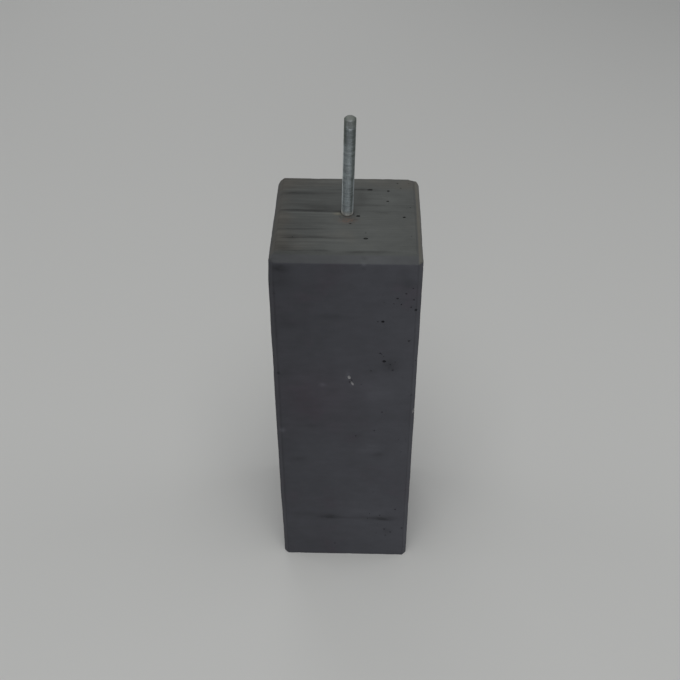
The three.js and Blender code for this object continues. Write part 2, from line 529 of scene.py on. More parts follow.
for name, sizes in BUBBLE_SIZES.items():
    pit(body, sizes)
    print("after the", name, "bubbles:", len(body.data.polygons), "faces")

# %% [markdown]
# ## Marks that are placed one by one
# Some marks make this block the one in the photograph: its larger bubble holes, thin grooves that the
# grain of the mould's floor has left across the head, a scar on the front, a chip on the right corner,
# and a broken patch round the stud. Each one is a rough lump or a thin sliver that is subtracted from
# the body. Those that would touch go in different lots, because a cut needs tools that don't overlap.

# %% Rough lumps and slivers
LUMP_ROUGHNESS = 0.16
LUMP_FINENESS = 1.6
LUMP_SEED_STEP = 5.3


def lump(work, centre, radii, turn=(0, 0, 0), seed=0, detail=3):
    """Add a rough egg-shaped lump to a mesh."""
    made = bmesh.ops.create_icosphere(work, subdivisions=detail, radius=1.0)
    place = Matrix.Translation(centre) @ Euler(turn).to_matrix().to_4x4() @ Matrix.Diagonal((*radii, 1.0))
    for vertex in made["verts"]:
        spot = vertex.co * LUMP_FINENESS + Vector((seed * LUMP_SEED_STEP, 0, 0))
        vertex.co = place @ (vertex.co * (1 + LUMP_ROUGHNESS * noise.noise(spot)))


def lump_call(*values, **more):
    """A call that adds one lump to whatever mesh it is given."""
    return lambda work: lump(work, *values, **more)


SLIVER_RINGS = 36
SLIVER_SIDES = 8
SLIVER_SWAY = 0.9 * MM
SLIVER_SWAY_WAVE = 22 * MM
SLIVER_SEED_STEP = 3.1


def sliver(work, start, end, width, depth, seed):
    """Add a long thin sliver that lies along the head from start to end and sways a little."""
    made = bmesh.ops.create_uvsphere(work, u_segments=SLIVER_SIDES, v_segments=SLIVER_RINGS, radius=1.0)
    start = Vector(start)
    end = Vector(end)
    for vertex in made["verts"]:
        across, down, along = vertex.co
        middle = start.lerp(end, (along + 1) / 2)
        sway = SLIVER_SWAY * noise.noise(Vector((middle.x / SLIVER_SWAY_WAVE, seed * SLIVER_SEED_STEP, 0)))
        vertex.co = middle + Vector((0, across * width / 2 + sway, down * depth))


# %% The holes and grooves, in millimetres
# A hole of the head is given by its place x, y and its length and width, one of the front by x, its
# distance below the head, its width and its height, and a groove by its two ends and its width.
TOP_HOLES = (
    (30.8, 61.6, 8, 4.2),
    (55.9, 58.8, 4.6, 3.8),
    (54.9, 32.3, 4.6, 3.2),
    (73.3, 67.1, 3, 2.6),
    (69, 79.8, 3.4, 2.8),
    (76.6, -7.3, 4.6, 3.6),
    (25.3, -58.6, 6.8, 4.8),
    (25.1, -45.4, 2.8, 2),
    (14.8, -5.8, 6.4, 5),
    (-70.4, -57.1, 2.4, 2),
    (4.4, -23.8, 4.4, 2.4),
)
FRONT_HOLES = (
    (49.9, 105.3, 4.8, 4.6),
    (43.3, 105.6, 2.2, 2),
    (53.6, 176, 5.2, 4.8),
    (47.9, 161.5, 3.4, 3),
    (62.1, 181.4, 2.6, 2.4),
    (68.8, 177, 2.2, 2),
    (65.8, 192.3, 3.2, 3),
    (60.6, 188.4, 1.8, 1.8),
    (93.2, 84.9, 4.2, 4.4),
    (68.4, 66.3, 3.8, 3.4),
    (89.8, 67.6, 2.8, 2.8),
    (86.9, 80.4, 3, 3),
    (86.4, 138.3, 3.4, 3.4),
    (79.5, 58, 3, 3),
    (63.5, 75, 2, 2),
    (35.6, 194, 2.6, 2.2),
    (52.9, 273.5, 3, 2.8),
    (42.6, 311.2, 2.6, 2.6),
    (15.4, 323, 2.4, 2.2),
    (79, 486.5, 3.2, 3.2),
    (91.1, 532.2, 3.8, 4),
    (62.8, 535.4, 3.4, 3.2),
    (72.9, 542.7, 3, 3.2),
    (65.1, 550.8, 3, 3),
    (50.2, 545.9, 2.2, 2.2),
    (-16.6, 573.1, 2.8, 2.6),
    (44.3, 7.3, 2.4, 2.4),
)
GROOVES = (
    (-27, 60.4, 36, 62, 1.6),
    (-87, 49.8, -40, 51, 2),
    (-92, 7.4, -10, 9.6, 2.2),
    (-88, 22, -30, 21, 1.2),
    (33, 21.6, 52, 22.3, 1.4),
    (-90, -38.9, -26, -37.2, 1.4),
    (-89, -58.6, 24, -55.7, 1.6),
    (-43, -87.6, -20, -86.6, 1.4),
    (4, -87.4, 62, -86.2, 1.4),
    (-75, 74, -12, 75, 1),
    (34, 2, 70, 3.2, 1),
    (8, -34.6, 40, -33.8, 1),
)
HOLE_SINK = 0.35  # how far below the face the middle of a deep hole lies, as a share of its radius
SHALLOW_SINK = -0.3
DEEP_FROM = 4.0
GROOVE_WIDTH = 1.6
GROOVE_DEPTH = 0.32 * MM  # of a groove of that width


def cutter(name, lot, tag=PORE):
    """An object to cut with, from a list of calls that add to its mesh."""
    work = bmesh.new()
    for add in lot:
        add(work)
    mesh = bpy.data.meshes.new(name)
    work.to_mesh(mesh)
    work.free()
    return new_object(name, tagged(mesh, tag))


def hand_placed_holes():
    """The larger bubble holes of the head and the front, which are shallow where they are small."""
    calls = []
    for x, y, length, width in TOP_HOLES:
        sink = HOLE_SINK if length >= DEEP_FROM else SHALLOW_SINK
        radii = (length / 2 * MM, width / 2 * MM, width / 2 * MM)
        centre = Vector((x * MM, y * MM, TOP - radii[2] * sink))
        calls.append(lump_call(centre, radii, seed=len(calls)))
    for x, below, width, height in FRONT_HOLES:
        sink = HOLE_SINK if width >= DEEP_FROM else SHALLOW_SINK
        radii = (width / 2 * MM, width / 2 * MM, height / 2 * MM)
        centre = Vector((x * MM, -SIDE_Y + radii[1] * sink, TOP - below * MM))
        calls.append(lump_call(centre, radii, seed=len(calls)))
    return cutter("hand_placed_holes", calls)


def mould_grain():
    """The grooves across the head."""
    calls = []
    for seed, (x0, y0, x1, y1, width) in enumerate(GROOVES):
        start = (x0 * MM, y0 * MM, TOP)
        end = (x1 * MM, y1 * MM, TOP)
        depth = GROOVE_DEPTH * width / GROOVE_WIDTH
        values = (start, end, width * MM, depth, seed)
        calls.append(lambda work, values=values: sliver(work, *values))
    return cutter("mould_grain", calls, SKIN)


lots = [hand_placed_holes(), mould_grain()]
print("placed", len(TOP_HOLES) + len(FRONT_HOLES), "holes and", len(GROOVES), "grooves")

# %% The scar, the chips and the break round the stud
STUD_SETBACK = 3 * MM
STUD_RADIUS = 8 * MM
STUD_CLEARANCE = 0.3 * MM
STUD_BURIED = 130 * MM
STUD_LEAN = math.radians(1.4)
HOLE_SIDES = 40
# A lump or gap of the scar: x, distance below the head, half width, depth and half height in
# millimetres, and the degrees by which it leans.
SCAR_LUMPS = (
    (5.4, 206.8, 2.3, 1.6, 3.3, 16),
    (9.7, 218.2, 1.6, 1.5, 4.3, 28),
)
SCAR_GAPS = (
    (8.9, 212.1, 1.2, 1.3, 1.2, 0),
    (6.0, 215.4, 1.1, 1.0, 2.4, 24),
)
GAP_SEED = 9
EDGE_CHIP = Vector((SIDE_X - 1.0 * MM, -SIDE_Y + CORNER_CUT - 1.6 * MM, TOP - 274 * MM))
EDGE_CHIP_RADII = (3.0 * MM, 3.0 * MM, 5.0 * MM)
EDGE_CHIP_TURN = (0, 0.1, 0.4)
DISH = Vector((0, STUD_SETBACK - 8 * MM, TOP + 0.2 * MM))
DISH_RADII = (11 * MM, 17 * MM, 1.9 * MM)
DISH_TURN = (0, 0, 0.1)
NICK_COUNT = 30
NICK_SEED = 41
NICKS_ON_HEAD = 0.35
NICK_SPREAD = 0.9
NICK_MARGIN = 0.03
NICK_APART = 12 * MM
NICK_FROM_CHIP = 20 * MM
NICK_SIZE = (0.7, 1.9)
NICK_SIZE_ON_HEAD = (0.7, 1.0)
NICK_ACROSS = (0.8, 1.4)
NICK_ALONG = (1.0, 2.4)

stud_place = Matrix.Translation((0, STUD_SETBACK, TOP)) @ Matrix.Rotation(STUD_LEAN, 4, "Y")


def stud_hole(work):
    """The round hole that the stud stands in."""
    radius = STUD_RADIUS + STUD_CLEARANCE
    depth = STUD_BURIED + STUD_CLEARANCE
    above = 5 * MM
    bmesh.ops.create_cone(
        work,
        cap_ends=True,
        segments=HOLE_SIDES,
        radius1=radius,
        radius2=radius,
        depth=depth + above,
        matrix=stud_place @ Matrix.Translation((0, 0, (above - depth) / 2)),
    )


def edge_nicks():
    """Small seeded nicks along the arrises of the corners and the head."""
    rng = random.Random(NICK_SEED)
    calls = []
    taken = []
    inner = SIDE_X - CORNER_CUT
    while len(calls) < NICK_COUNT:
        side = rng.choice((-1, 1))
        other = rng.choice((-1, 1))
        flat = rng.random() < NICKS_ON_HEAD
        if flat:
            along = rng.uniform(-NICK_SPREAD, NICK_SPREAD) * (SIDE_X - CHAMFER_IN)
            spot = Vector((along, side * SIDE_Y, TOP - CHAMFER_DOWN))
            spot = spot if other > 0 else Vector((spot.y, spot.x, spot.z))
        else:
            spot = Vector((side * SIDE_X, other * inner, rng.uniform(NICK_MARGIN, TOP - NICK_MARGIN)))
            spot = spot if rng.random() < 0.5 else Vector((spot.y, spot.x, spot.z))
        facing_camera = spot.y < -inner and (abs(spot.x) < inner or flat)
        crowded = any((spot - t).length < NICK_APART for t in taken)
        if crowded or (spot - EDGE_CHIP).length < NICK_FROM_CHIP or facing_camera:
            continue
        taken.append(spot)
        size = rng.uniform(*(NICK_SIZE_ON_HEAD if flat else NICK_SIZE)) * MM
        radii = [size * rng.uniform(*share) for share in (NICK_ACROSS, NICK_ACROSS, NICK_ALONG)]
        calls.append(lump_call(spot, radii, seed=len(taken), detail=2))
    return calls


def scar_part(values, seed):
    """A call that adds one lump of the scar on the front."""
    x, below, half_width, depth, half_height, turn = values
    centre = Vector((x * MM, -SIDE_Y, TOP - below * MM))
    radii = (half_width * MM, depth * MM, half_height * MM)
    return lump_call(centre, radii, (0, -math.radians(turn), 0), seed)


chip = lump_call(EDGE_CHIP, EDGE_CHIP_RADII, EDGE_CHIP_TURN, seed=8)
dish = lump_call(DISH, DISH_RADII, DISH_TURN, seed=5, detail=4)
breaks = [scar_part(values, seed) for seed, values in enumerate(SCAR_LUMPS)]
lots.append(cutter("breaks", [*breaks, chip], BREAK))
lots.append(cutter("old_breaks", [dish, *edge_nicks()], SKIN))
lots.append(cutter("scar_gaps", [scar_part(values, seed) for seed, values in enumerate(SCAR_GAPS, GAP_SEED)]))
lots.append(cutter("stud_hole", [stud_hole]))


def cut(thing, tools, operation="DIFFERENCE"):
    """Cut a thing with one tool after the other, and remove the tools."""
    for tool in tools:
        modifier = thing.modifiers.new(tool.name, "BOOLEAN")
        modifier.operation = operation
        modifier.solver = "MANIFOLD"
        modifier.object = tool
    bake(thing)
    for tool in tools:
        bpy.data.objects.remove(tool)


cut(body, lots)

# %% Tidy the mesh and set its shading
SHARP_ANGLE = math.radians(34)
MERGE_WITHIN = 0.004 * MM
SLIVER_EDGE = 0.002 * MM


def tidy(thing):
    """Drop the slivers that cutting leaves, close up the mesh and smooth its shading."""
    work = bmesh.new()
    work.from_mesh(thing.data)
    bmesh.ops.remove_doubles(work, verts=work.verts, dist=MERGE_WITHIN)
    bmesh.ops.dissolve_degenerate(work, edges=work.edges, dist=SLIVER_EDGE)
    open_edges = sum(1 for edge in work.edges if len(edge.link_faces) != 2)
    tag = work.faces.layers.float.get(TAG)
    for face in work.faces:
        face.smooth = True
    for edge in work.edges:
        faces = edge.link_faces
        rim = tag and len(faces) == 2 and faces[0][tag] != faces[1][tag]
        edge.smooth = not rim and edge.calc_face_angle(0) < SHARP_ANGLE
    work.to_mesh(thing.data)
    work.free()
    thing.data.calc_loop_triangles()
    print(thing.name, len(thing.data.loop_triangles), "triangles,", open_edges, "open edges")


tidy(body)

# %% [markdown]
# ## The stud
# The stud is a length of M16 threaded rod, with a thread rolled all along it. A spiral ridge can be made
# with a Screw modifier, but its ends stay open and its depth can't change along the way. Here the thread
# is a strip with four points across, wound round the axis so that each turn is sewn to the turn below.
# Near the tip the grooves are clogged with dried cement, so there the strip is shallower. The wound body
# is then trimmed by a bar whose sawn end is chamfered, a little domed and faintly scored.

# %% Wind the thread
PITCH = 2 * MM
THREAD_DEPTH = 1.23 * MM
THREAD_STEPS = 48
CREST_RADIUS = STUD_RADIUS - 0.1 * MM
STUD_SHOWING = 142 * MM
# Points across the thread: how far up the pitch, and how deep as a share of the thread's depth
PROFILE = ((0.0, 0.0), (0.14, 0.0), (0.46, 1.0), (0.68, 1.0))
CLOGGED_LENGTH = 13 * MM
CLOG_SHARE = 0.82
CLOG_RISE = 4 * MM
CLOG_RAGGED = 0.35
CLOG_MEAN = 0.9
CLOG_PATCHY = 0.2
PATCH_ROUND = 1.6
PATCH_LENGTH = 6 * MM


def thread_open(z, angle):
    """How much of the thread's depth is free at this place: 1 is clean, and near 0 is clogged."""
    spot = Vector((math.cos(angle) * PATCH_ROUND, math.sin(angle) * PATCH_ROUND, z / PATCH_LENGTH))
    patch = noise.noise(spot)
    start = STUD_SHOWING - CLOGGED_LENGTH * (1 + CLOG_RAGGED * patch)
    amount = min(1.0, max(0.0, (z - start) / CLOG_RISE))
    return 1 - CLOG_SHARE * amount * (CLOG_MEAN + CLOG_PATCHY * patch)


def wound_thread():
    """Points and faces of a closed threaded body about the Z axis, longer than the stud at both ends."""
    low = -STUD_BURIED - 2 * PITCH
    turns = math.ceil((STUD_SHOWING + 2 * PITCH - low) / PITCH)
    last = turns * THREAD_STEPS
    points = []

    def add(i, share, depth_share):
        angle = math.tau * i / THREAD_STEPS
        z = low + PITCH * (i / THREAD_STEPS + share)
        radius = CREST_RADIUS - THREAD_DEPTH * depth_share * thread_open(z, angle)
        points.append((radius * math.cos(angle), radius * math.sin(angle), z))
        return len(points) - 1

    wound = THREAD_STEPS
    rows = [[add(i, *PROFILE[0]) for i in range(last + wound + 1)]]
    rows += [[add(i, *step) for i in range(last + 1)] for step in PROFILE[1:]]
    faces = []
    for i in range(last):
        for lower, upper in zip(rows, rows[1:]):
            faces.append((lower[i], lower[i + 1], upper[i + 1], upper[i]))
        faces.append((rows[-1][i], rows[-1][i + 1], rows[0][i + 1 + wound], rows[0][i + wound]))
    foot_loop = rows[0][: wound + 1] + [row[0] for row in rows[:0:-1]]
    head_loop = rows[0][last : last + wound + 1] + [row[last] for row in rows[:0:-1]]
    for loop, z, flip in ((foot_loop, low, True), (head_loop, low + PITCH * turns + PITCH / 2, False)):
        points.append((0, 0, z))
        hub = len(points) - 1
        for a, b in zip(loop, loop[1:] + loop[:1]):
            faces.append((hub, b, a) if flip else (hub, a, b))
    return points, faces


thread_points, thread_faces = wound_thread()
print("thread:", len(thread_faces), "faces")

# %% Trim it to length with a rough sawn end
TIP_CHAMFER = 2.4 * MM
TIP_DOME = 1.2 * MM
BAR_RADIUS = STUD_RADIUS * 1.02
SAW_MARK = 0.05 * MM
SAW_MARK_WAVE = 0.9 * MM
BAR_RINGS = (1.0, 0.8, 0.6, 0.4, 0.2)


def sawn_bar(work):
    """A round bar as long as the stud, with a chamfer and faint saw marks on its upper end."""
    outline = [(BAR_RADIUS, -STUD_BURIED), (BAR_RADIUS, STUD_SHOWING - TIP_CHAMFER)]
    end_radius = STUD_RADIUS - TIP_CHAMFER
    outline += [(end_radius * ring, STUD_SHOWING + TIP_DOME * (1 - ring * ring)) for ring in BAR_RINGS]
    loops = []
    for radius, z in outline:
        loop = []
        for i in range(HOLE_SIDES):
            angle = math.tau * i / HOLE_SIDES
            x = radius * math.cos(angle)
            y = radius * math.sin(angle)
            mark = SAW_MARK * (math.sin(x / SAW_MARK_WAVE) - 1) if z >= STUD_SHOWING else 0.0
            loop.append(work.verts.new((x, y, z + mark)))
        loops.append(loop)
    for lower, upper in zip(loops, loops[1:]):
        for i in range(HOLE_SIDES):
            j = (i + 1) % HOLE_SIDES
            work.faces.new((lower[i], lower[j], upper[j], upper[i]))
    work.faces.new(loops[-1])
    work.faces.new(loops[0][::-1])


thread_mesh = bpy.data.meshes.new("threaded_stud_look")
thread_mesh.from_pydata(thread_points, [], thread_faces)
stud = new_object("threaded_stud_look", thread_mesh)
cut(stud, [cutter("sawn_bar", [sawn_bar])], "INTERSECT")
stud.data.transform(stud_place)
tidy(stud)

# %% [markdown]
# ## The finish of the concrete
# Dark concrete is never one colour. The head is a greenish grey, and the sides are bluish with patches
# of plum; the head's lighter grey and the sides' blue are partly painted light, for more light from above
# and a bluish light on the front. The skin is cloudy where the mix was wetter or drier, it shows faint
# level bands where it was poured in layers, and the grain of the mould's floor has printed dark streaks on
# the head. Light and shade are painted in places too. The block is darker to the left and lighter to the
# right, partly as painted light, and the walls of the pores are painted darker as shade. A few marks on
# the head are the stud's painted shadow, painted shade in a groove and at the stud's foot, and painted
# highlights on the lips of two grooves. Sand grains give it a fine tooth. All of it is worked out from
# the object's own coordinates, so each mark stays where it is from every side.
#
# A mask is a number from 0 to 1 that says where something shows, and a noise runs about zero. A number
# that multiplies one of them in the sums below is its share: how strongly it changes the finish.

# %% Marks: x, y or distance below the head, half length, half width or height, and strength
# Most head marks are dark streaks of the mould's grain. The row at x 22, y 61.2 is partly painted shade in a
# groove, the row at x 16, y 42 is the stud's painted shadow, and the last row is painted shade just in front
# of the stud's foot.
HEAD_MARKS = (
    (4, 61.5, 34, 1.8, 0.34),
    (22, 61.2, 15, 3.4, 0.34),
    (-70, 52, 24, 3.6, 0.54),
    (-30, 52, 26, 2.2, 0.26),
    (-52, 31, 44, 19, 0.12),
    (-44, 18, 30, 4.2, 0.24),
    (-72, 7.4, 20, 2.3, 0.46),
    (-36, 6.6, 24, 2.3, 0.44),
    (-34, 12, 25, 7, 0.32),
    (-12, 5, 7, 2.2, 0.36),
    (26, 20.6, 20, 3, 0.26),
    (16, 42, 9, 21, 0.18),
    (44, 5, 18, 1.8, 0.18),
    (10, 2, 6, 6, 0.2),
    (-58, -38, 32, 3, 0.22),
    (-40, -58, 48, 2.8, 0.36),
    (-72, -56.5, 9, 6.5, 0.28),
    (-80, -82, 11, 8.5, 0.32),
    (-58, -88.4, 22, 2.4, 0.4),
    (-32, -87.4, 12, 2.4, 0.36),
    (8, -89.2, 12, 1.8, 0.28),
    (36, -89.2, 30, 2.2, 0.44),
    (12, -14, 3.5, 2, 0.3),
    (0, -7.2, 9, 2.2, 0.16),
)
# The first two rows are painted highlights on the raised lips just in front of two grooves.
HEAD_LIGHTS = (
    (-60, 1.8, 32, 1.7, 0.32),
    (-22, 0.6, 16, 1.7, 0.24),
    (-55, 84, 36, 6, 0.12),
    (-20, -64, 26, 2.6, 0.12),
    (56, 40, 22, 14, 0.08),
)
FRONT_MARKS = (
    (-84, 20.5, 12, 6, 0.38),
    (-84, 38, 17, 20, 0.24),
    (24.4, 5.6, 4.6, 2, 0.16),
    (24.4, 17.6, 4, 2.6, 0.14),
    (-22, 97.5, 15, 5, 0.28),
    (4, 98.5, 14, 3.5, 0.1),
    (80, 41.6, 8, 8, 0.2),
    (76, 24, 7, 8, 0.1),
    (63, 184, 12, 10, 0.34),
    (68, 541, 9, 8, 0.18),
    (37, 194, 9, 5, 0.14),
    (-78, 112, 18, 9, 0.18),
    (-94, 127, 4, 8, 0.12),
    (-70, 375, 13, 5.5, 0.16),
    (49, 362, 14, 6, 0.2),
    (-49, 304, 9, 5, 0.14),
    (15, 323, 7, 4, 0.16),
    (-26, 506.8, 15, 4.8, 0.48),
    (60, 509.8, 18, 4.6, 0.46),
    (16, 508, 44, 2.8, 0.18),
    (-66, 502, 22, 5, 0.12),
)
FRONT_LIGHTS = (
    (-94, 313.4, 4.4, 4.4, 0.55),
    (-33, 222.2, 4.6, 3.4, 0.36),
    (24.4, 12.6, 3.4, 2.6, 0.42),
    (37, 350, 15, 16, 0.15),
    (28, 494, 34, 7, 0.1),
    (48, 236, 22, 14, 0.13),
    (4.6, 203.5, 3.4, 6, 0.4),
    (10.4, 220.5, 2.4, 4.5, 0.3),
)


# %% Masks
GAUSS_BASE = math.exp(-1)
FACE_REACH = 14 * MM


def cloud(place, scale, stretch=(1.0, 1.0, 1.0), detail=3.0, roughness=0.55):
    """Noise from about -0.5 to 0.5, squeezed along the axes by these factors."""
    moved = place.node("ShaderNodeMapping", None, {"Vector": place, "Scale": stretch})
    inputs = {"Vector": moved, "Scale": scale, "Detail": detail, "Roughness": roughness}
    return place.node("ShaderNodeTexNoise", None, inputs) - 0.5


def soft_spot(place, centre, radii):
    """A soft oval mark that is 1 at its centre and fades away past its radii."""
    settings = {"vector_type": "TEXTURE"}
    inputs = {"Vector": place, "Location": centre, "Scale": radii}
    local = place.node("ShaderNodeMapping", settings, inputs)
    return place.maths("POWER", GAUSS_BASE, local.vectors("DOT_PRODUCT", local, 1))


def on_head(x, y, length, width):
    """The centre and radii of a mark on the head, from millimetres."""
    return (x * MM, y * MM, TOP), (length * MM, width * MM, FACE_REACH)


def on_front(x, below, width, height):
    """The centre and radii of a mark on the front, from millimetres."""
    return (x * MM, -SIDE_Y, TOP - below * MM), (width * MM, FACE_REACH, height * MM)


def sum_of_marks(place, marks, on_face):
    """The sum of soft marks, whose rows on_face turns into centres and radii."""
    total = 0.0
    for *row, strength in marks:
        total = place.maths("MULTIPLY_ADD", soft_spot(place, *on_face(*row)), strength, total)
    return total


# %% Colours of the concrete
# The head's lighter, greener grey and the sides' bluer grey are partly the concrete's own colour and partly
# painted light: more light from above and a bluish light on the front.
SIDE_COLOUR = (0.0684, 0.0698, 0.0815, 1.0)
HEAD_COLOUR = (0.0880, 0.0928, 0.0900, 1.0)
WARM_COLOUR = (0.0965, 0.0925, 0.0835, 1.0)
PLUM_COLOUR = (0.0735, 0.0665, 0.0810, 1.0)
# How much of its tone a pore wall keeps under the painted shade.
PORE_SHADE_SHARE = 0.58
FRESH_COLOUR = (0.30, 0.295, 0.30, 1.0)
RUST_COLOUR = (0.132, 0.096, 0.080, 1.0)
OCHRE_COLOUR = (0.165, 0.158, 0.128, 1.0)


# %% Where each mask of the concrete begins and where it is full
HEAD_BAND = (TOP - 4 * MM, TOP - 1.5 * MM)
WARM_BAND = (TOP - 14 * MM, TOP - 4 * MM)
SHOULDER_BAND = (TOP - CHAMFER_DOWN - 1 * MM, TOP - CHAMFER_DOWN + 1 * MM)
LEFT_BAND = (10 * MM, -80 * MM)
LEFT_RIM_BAND = (-66 * MM, -96 * MM)
LEFT_ZONE_BAND = (-48 * MM, -84 * MM)
RIGHT_BAND = (25 * MM, 95 * MM)
RIGHT_RIM_BAND = (92.5 * MM, 95 * MM)
NEAR_BAND = (6 * MM, -6 * MM)
BACK_BAND = (54 * MM, 74 * MM)
FRONT_EDGE_BAND = (-92 * MM, -84 * MM)
ARRIS_BAND = (1.6 * MM, 0.0)
CORNER_BAND = (2.4 * MM, 0.0)
PORE_EDGE = (0.2, 0.4)
FRESH_EDGE = (0.7, 0.9)
WARM_EDGE = (0.12, 0.9)
PLUM_EDGE = (-0.02, -0.35)
DARKEST = 0.2
RAGGED_BY = (14 * MM, 6 * MM, 9 * MM)
STAIN = (1, -15, 10, 7)
SMEAR = (-12.5, 0.0, 6.5, 3.2)
PLUM_PATCH = ((-46 * MM, -SIDE_Y, TOP - 246 * MM), (58 * MM, 30 * MM, 52 * MM))


# %% Build the concrete
def wear(thing, material):
    thing.data.materials.clear()
    thing.data.materials.append(material)


def finish_concrete(material):
    material.use_nodes = True
    tree = material.node_tree
    tree.nodes.clear()
    place = Wire(tree).node("ShaderNodeTexCoord", output="Object")
    x = place.axes()
    y = x.other("Y")
    z = x.other("Z")
    head = z.step(*HEAD_BAND)
    shoulder = z.step(*SHOULDER_BAND)

    clouds = cloud(place, scale=11.0, stretch=(1.0, 1.0, 0.8))
    patches = cloud(place, scale=42.0, stretch=(1.0, 1.0, 1.3))
    layers = cloud(place, scale=7.0, stretch=(0.6, 0.6, 6.0), detail=4.0)
    grain = cloud(place, scale=9.0, stretch=(0.8, 12.0, 1.0), detail=5.0, roughness=0.62)
    fine_grain = cloud(place, scale=20.0, stretch=(0.9, 22.0, 1.0))
    mottle = cloud(place, scale=90.0, stretch=(0.6, 1.3, 1.3))
    sand = cloud(place, scale=900.0, detail=2.0)
    sway = cloud(place, scale=26.0, stretch=(1.0, 0.3, 0.3))

    by_x, by_y, by_z = RAGGED_BY
    shift = {0: clouds * by_x, 1: sway * by_y, 2: patches * by_z}
    ragged = place.vectors("ADD", place.node("ShaderNodeCombineXYZ", None, shift))
    dark = sum_of_marks(ragged, HEAD_MARKS, on_head) * (1.0 + fine_grain * 1.8 + mottle * 1.4)
    dark = dark + sum_of_marks(ragged, FRONT_MARKS, on_front) * (1.0 + mottle * 2.6)
    light = sum_of_marks(ragged, HEAD_LIGHTS, on_head) + sum_of_marks(ragged, FRONT_LIGHTS, on_front)
    light = light * (1.0 + mottle * 1.2)

    left = x.step(*LEFT_BAND)
    right = x.step(*RIGHT_BAND)
    right_rim = x.step(*RIGHT_RIM_BAND) * shoulder
    off_arris = (x.size().least(y.size()) - SIDE_X).size()
    off_corner = (x.size() + y.size() - (2 * SIDE_X - CORNER_CUT)).size()
    arris = off_arris.step(*ARRIS_BAND) * off_corner.step(*CORNER_BAND) * (0.16 + mottle * 0.5)
    # The terms in left and x make the block darker to the left and lighter to the right: partly its own tone
    # and partly painted light, as if lit more from the right.
    tone = (
        1.0
        + clouds * 0.40
        + patches * 0.22
        + mottle * 0.22
        + sand * 0.16
        + layers * (1.0 - head) * 0.20
        + grain * head * (0.40 + left * 0.7)
        + fine_grain * head * 0.34
        - left * (0.04 + shoulder * 0.11 + head * 0.15)
        - right * (shoulder * 0.20 - head * 0.08)
        + right_rim * 0.13
        + x * (1.0 - head) * 1.0
        - (z - TOP / 2) * (1.0 - shoulder) * 0.22
        + shoulder * (1.0 - head) * 0.06
    )
    tone = tone * (1.0 - dark) * (1.0 + light) * (1.0 - arris)

    kind = place.node("ShaderNodeAttribute", {"attribute_name": TAG}, None, 2)
    pore = kind.step(*PORE_EDGE)
    fresh = kind.step(*FRESH_EDGE)
    # Painted shade: the walls of the pores are darkened, on top of the shade that the holes cast themselves.
    tone = tone * (1.0 - pore * (1.0 - fresh) * (1.0 - PORE_SHADE_SHARE))
    tone = tone.least(DARKEST)

    rim = x.step(*LEFT_RIM_BAND) * 0.55 + right_rim * 0.9
    zones = x.step(*LEFT_ZONE_BAND) * y.step(*NEAR_BAND) * 0.35 + y.step(*BACK_BAND) * 0.45
    warm = (0.08 + clouds * 2.0 + rim + zones).step(*WARM_EDGE) * z.step(*WARM_BAND)
    warm = warm * (y.step(*FRONT_EDGE_BAND) + right_rim).most(1.0)
    plum = (clouds * 1.4 - patches * 0.6).step(*PLUM_EDGE) * 0.8
    plum = plum + soft_spot(place, *PLUM_PATCH) * 0.75
    plum = (plum * (1.0 - shoulder)).most(1.0)
    stain = soft_spot(place, *on_head(*STAIN))
    stain = (stain * (0.8 + cloud(place, scale=330.0) * 4.5)).least(0.0).most(1.0)
    smear = soft_spot(place, *on_head(*SMEAR)) * 0.95

    # Head against sides: partly own colour, partly painted light, as above.
    colour = ((head + shoulder) * 0.5).blend(SIDE_COLOUR, HEAD_COLOUR)
    colour = colour.mixed(WARM_COLOUR, warm).mixed(PLUM_COLOUR, plum).mixed(OCHRE_COLOUR, right_rim * 0.28)
    colour = colour.mixed(RUST_COLOUR, stain * 0.95).mixed(OCHRE_COLOUR, smear)
    colour = colour.mixed(FRESH_COLOUR, fresh * (0.8 + mottle * 1.2).most(1.0)).scaled(tone)

    roughness = 0.80 + patches * 0.16 - dark * 0.10 + sand * 0.08
    tooth = cloud(place, scale=320.0) * (0.5 + fresh * 2.5)
    relief = sand * 0.30 + tooth + fine_grain * head * 1.5 + grain * head * 1.2 + patches * 0.5
    bump = place.node("ShaderNodeBump", None, {"Height": relief, "Strength": 0.55, "Distance": 0.45 * MM})
    inputs = {"Base Color": colour, "Roughness": roughness, "Normal": bump, "Specular IOR Level": 0.35}
    shader = place.node("ShaderNodeBsdfPrincipled", None, inputs)
    place.node("ShaderNodeOutputMaterial", None, {"Surface": shader})


finish_concrete(concrete)
wear(body, concrete)
print("concrete:", len(concrete.node_tree.nodes), "nodes")

# %% [markdown]
# ## The finish of the zinc
# Zinc plating on a rolled thread is a bluish grey metal that has gone a little dull. Both sides of the
# stud are painted dark as shade, except for a thin painted highlight low down its right edge. The tip was
# sawn, so its end is bare and grey, and dried cement and dirt fill the first turns below it. At the foot,
# where water stands, a pale film of lime ends in a painted dark line of shade, with a crust of concrete
# below.

# %% Build the zinc
ZINC_COLOUR = (0.43, 0.475, 0.495, 1.0)
DULL_COLOUR = (0.245, 0.27, 0.275, 1.0)
# The colour of the painted shade down the stud's sides.
SIDE_SHADE_COLOUR = (0.085, 0.105, 0.088, 1.0)
CEMENT_COLOUR = (0.135, 0.140, 0.128, 1.0)
SAWN_COLOUR = (0.160, 0.172, 0.159, 1.0)
LIME_COLOUR = (0.50, 0.485, 0.445, 1.0)
